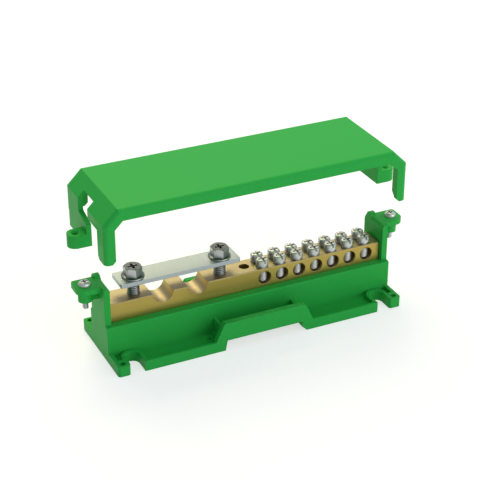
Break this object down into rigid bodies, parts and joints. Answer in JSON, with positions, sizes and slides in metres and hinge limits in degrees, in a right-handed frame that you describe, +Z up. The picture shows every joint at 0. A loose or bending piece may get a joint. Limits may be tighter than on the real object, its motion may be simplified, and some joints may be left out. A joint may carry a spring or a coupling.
{
  "type": "earth terminal bar",
  "caption": "Brass earth bar in a rail-mount insulating base, with two rows of terminal screws, a screw-down cable clamp strip and a separate end-screwed cover.",
  "frame": {"origin": "middle of the base's footprint, in the middle of the rail recess, on the plane of the underside", "axes": "+X along the bar, from the cable clamp to the terminals; -Y to the front; +Z up, away from the mounting surface"},
  "size_m": [0.172, 0.0539, 0.0831],
  "materials": {
    "green_plastic": "satin moulded, green",
    "brass": "machined, dull",
    "zinc_plate": "zinc plated, pale",
    "zinc_screw": "zinc plated"
  },
  "bodies": {
    "root": {"base": "green_plastic", "cover": "green_plastic", "earth_bar": "brass", "clamp_plate": "zinc_plate", "clamp_screw_left": "zinc_screw", "cover_screw_left": "zinc_screw", "bar_fixing_screw_left": "zinc_screw", "clamp_screw_right": "zinc_screw", "cover_screw_right": "zinc_screw", "bar_fixing_screw_right": "zinc_screw", "terminal_screw_front_1": "zinc_screw", "terminal_screw_front_2": "zinc_screw", "terminal_screw_front_3": "zinc_screw", "terminal_screw_front_4": "zinc_screw", "terminal_screw_front_5": "zinc_screw", "terminal_screw_front_6": "zinc_screw", "terminal_screw_front_7": "zinc_screw", "terminal_screw_back_1": "zinc_screw", "terminal_screw_back_2": "zinc_screw", "terminal_screw_back_3": "zinc_screw", "terminal_screw_back_4": "zinc_screw", "terminal_screw_back_5": "zinc_screw", "terminal_screw_back_6": "zinc_screw", "terminal_screw_back_7": "zinc_screw"}
  },
  "joints": []
}
